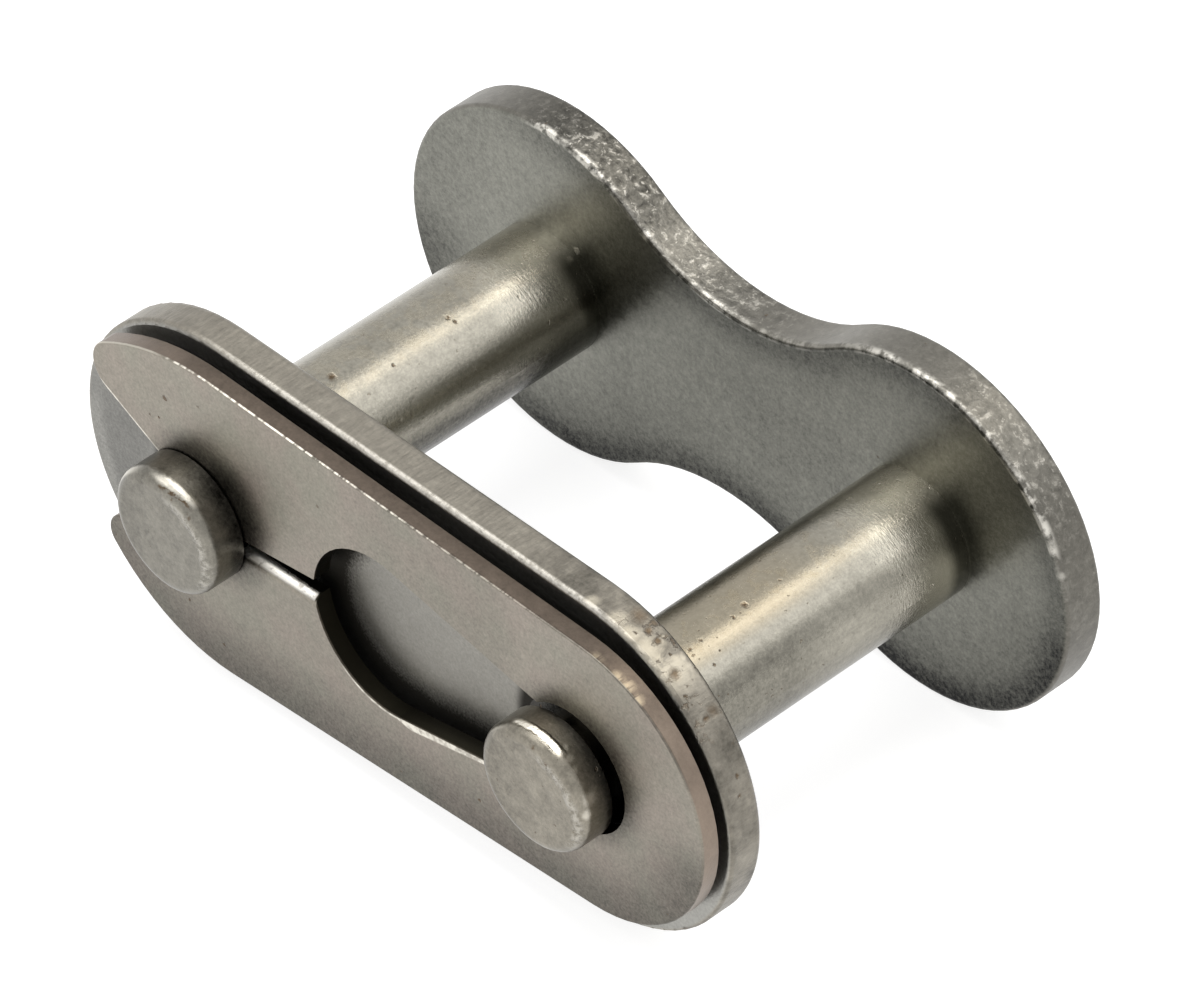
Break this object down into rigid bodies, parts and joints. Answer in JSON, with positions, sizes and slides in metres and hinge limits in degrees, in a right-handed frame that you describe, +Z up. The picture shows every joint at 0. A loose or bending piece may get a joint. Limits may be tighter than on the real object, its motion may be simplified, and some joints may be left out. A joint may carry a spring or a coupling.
{
  "type": "chain connecting link",
  "caption": "Roller chain connecting link: a waisted pin plate with riveted pins, a straight-sided cover plate and a split spring clip that locks it on.",
  "frame": {"origin": "midway between the two pin axes and midway between the inner faces of the plates", "axes": "+X along the chain's pitch, from the clip's open end to its closed end; +Y along the pins, from the cover plate to the pin plate; +Z up, across the plates' height"},
  "size_m": [0.0226, 0.0146, 0.01],
  "materials": {
    "pin_plate_steel": "plain blanked steel, tumbled, with a rough sheared edge",
    "pin_steel": "plain ground steel, satin, with brown specks",
    "cover_plate_steel": "plain blanked steel, tumbled",
    "spring_steel": "plain spring steel, satin, with a few dark pits"
  },
  "bodies": {
    "link": {"pin_plate": "pin_plate_steel", "pin_closed_end": "pin_steel", "pin_open_end": "pin_steel", "cover_plate": "cover_plate_steel"},
    "clip": {"spring_clip": "spring_steel"}
  },
  "joints": [
    {"name": "clip_slide", "type": "slide", "parent": "link", "child": "clip", "axis": [1, 0, 0], "range_m": [0, 0.0063], "deforming": ["spring_clip"]}
  ]
}
